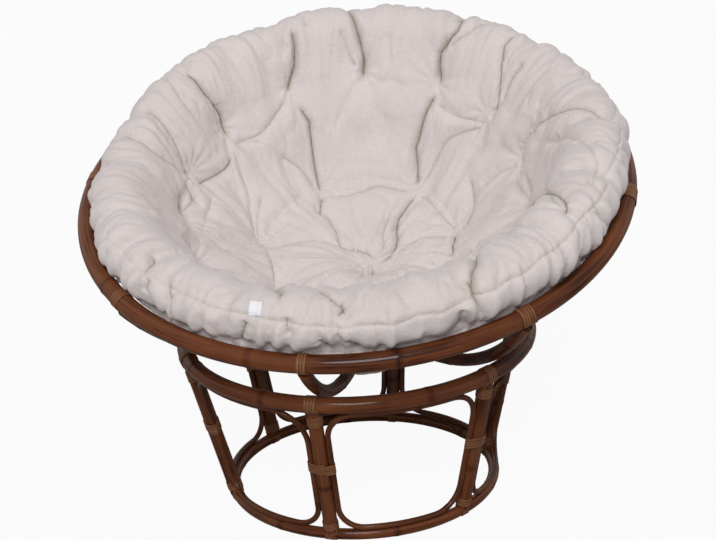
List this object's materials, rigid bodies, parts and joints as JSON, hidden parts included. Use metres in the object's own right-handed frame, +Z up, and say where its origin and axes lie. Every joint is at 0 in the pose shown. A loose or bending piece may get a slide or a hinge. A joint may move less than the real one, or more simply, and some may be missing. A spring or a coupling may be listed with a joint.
{
  "type": "papasan chair",
  "caption": "Round rattan bowl seat that rests and tilts on a ring base of posts and bent cane loops, with a deep tufted round cushion that lifts out.",
  "frame": {"origin": "on the floor, under the middle of the whole chair's bounding box", "axes": "+Z up; the bowl's low front edge faces -Y; +X is the sitter's left"},
  "size_m": [1.1038, 1.0614, 0.8481],
  "materials": {
    "rattan_pole": "dark reddish-brown stained rattan pole under satin lacquer",
    "thin_cane": "thin bent cane in the same stain and lacquer",
    "rattan_peel": "flat strips of rattan peel, lighter, satin",
    "cushion_cotton": "plain ecru woven cover, tufted, matt",
    "tag_cloth": "smooth white woven tape, blank"
  },
  "bodies": {
    "base": {"base_top_ring": "rattan_pole", "base_bottom_ring": "rattan_pole", "post_1": "rattan_pole", "post_2": "rattan_pole", "post_3": "rattan_pole", "post_4": "rattan_pole", "post_5": "rattan_pole", "post_6": "rattan_pole", "bay_loop_1": "thin_cane", "bay_loop_2": "thin_cane", "bay_loop_3": "thin_cane", "bay_loop_4": "thin_cane", "bay_loop_5": "thin_cane", "bay_loop_6": "thin_cane", "post_head_binding_1": "rattan_peel", "post_head_binding_2": "rattan_peel", "post_head_binding_3": "rattan_peel", "post_head_binding_4": "rattan_peel", "post_head_binding_5": "rattan_peel", "post_head_binding_6": "rattan_peel", "post_mid_binding_1": "rattan_peel", "post_mid_binding_2": "rattan_peel", "post_mid_binding_3": "rattan_peel", "post_mid_binding_4": "rattan_peel", "post_mid_binding_5": "rattan_peel", "post_mid_binding_6": "rattan_peel", "post_foot_binding_1": "rattan_peel", "post_foot_binding_2": "rattan_peel", "post_foot_binding_3": "rattan_peel", "post_foot_binding_4": "rattan_peel", "post_foot_binding_5": "rattan_peel", "post_foot_binding_6": "rattan_peel"},
    "bowl": {"bowl_rim": "rattan_pole", "bowl_bottom_ring": "rattan_pole", "bowl_rib_1": "rattan_pole", "bowl_rib_2": "rattan_pole", "bowl_rib_3": "rattan_pole", "bowl_rib_4": "rattan_pole", "bowl_rib_5": "rattan_pole", "bowl_rib_6": "rattan_pole", "bowl_rib_7": "rattan_pole", "bowl_rib_8": "rattan_pole", "rim_binding_1": "rattan_peel", "rim_binding_2": "rattan_peel", "rim_binding_3": "rattan_peel", "rim_binding_4": "rattan_peel", "rim_binding_5": "rattan_peel", "rim_binding_6": "rattan_peel", "rim_binding_7": "rattan_peel", "rim_binding_8": "rattan_peel"},
    "cushion": {"cushion": "cushion_cotton", "care_tag": "tag_cloth"}
  },
  "joints": [
    {"name": "bowl_tilt", "type": "hinge", "parent": "base", "child": "bowl", "pos_m": [0, -0.08465, 0.87051], "axis": [1, 0, 0], "range_deg": [-39.5, 6.5]},
    {"name": "cushion_lift", "type": "slide", "parent": "bowl", "child": "cushion", "axis": [0, -0.284, 0.9588], "range_m": [0, 0.35]}
  ]
}
